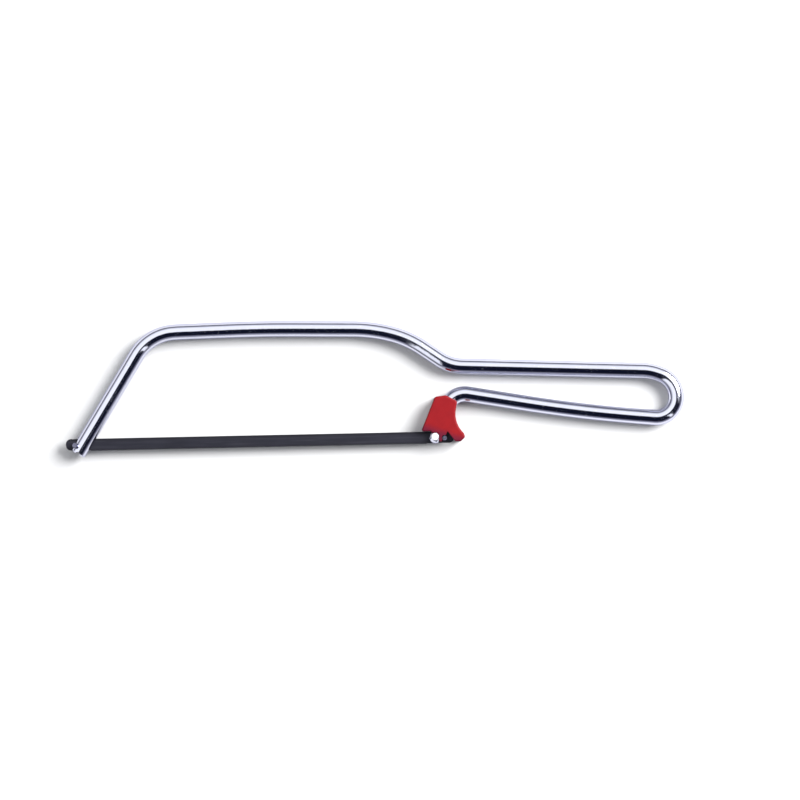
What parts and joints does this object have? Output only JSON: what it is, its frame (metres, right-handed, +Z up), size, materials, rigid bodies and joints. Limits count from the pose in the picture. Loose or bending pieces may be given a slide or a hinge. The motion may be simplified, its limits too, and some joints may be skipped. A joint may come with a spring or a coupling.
{
  "type": "junior hacksaw",
  "caption": "Small hand saw with a bent wire bow and loop handle, a pinned narrow blade and an over-centre tensioning lever.",
  "frame": {"origin": "under the middle of the saw, which lies on its side", "axes": "+X along the blade from its front pin towards the handle, +Y towards the bow's back, teeth face -Y, +Z up, square to the bow"},
  "size_m": [0.2516, 0.0538, 0.0096],
  "materials": {
    "chrome_wire": "bright chrome plate",
    "blade_steel": "dark blued, satin",
    "pin_steel": "bright turned",
    "red_plastic": "moulded, semi-gloss"
  },
  "bodies": {
    "frame": {"frame_wire": "chrome_wire", "pivot_studs": "pin_steel"},
    "lever": {"tension_lever": "red_plastic"},
    "blade": {"blade": "blade_steel", "blade_front_pin": "pin_steel", "blade_rear_pin": "pin_steel"}
  },
  "joints": [
    {"name": "lever_pivot", "type": "hinge", "parent": "frame", "child": "lever", "pos_m": [0.02435, -0.02135, 0.0048], "axis": [0, 0, 1], "range_deg": [0, 45]},
    {"name": "blade_pin_turn", "type": "hinge", "parent": "lever", "child": "blade", "pos_m": [0.0281, -0.02195, 0.0048], "axis": [0, 0, 1], "range_deg": [-46, 0]}
  ],
  "couplings": [
    {"joint": "blade_pin_turn", "follows": "lever_pivot", "ratio": -0.977}
  ]
}
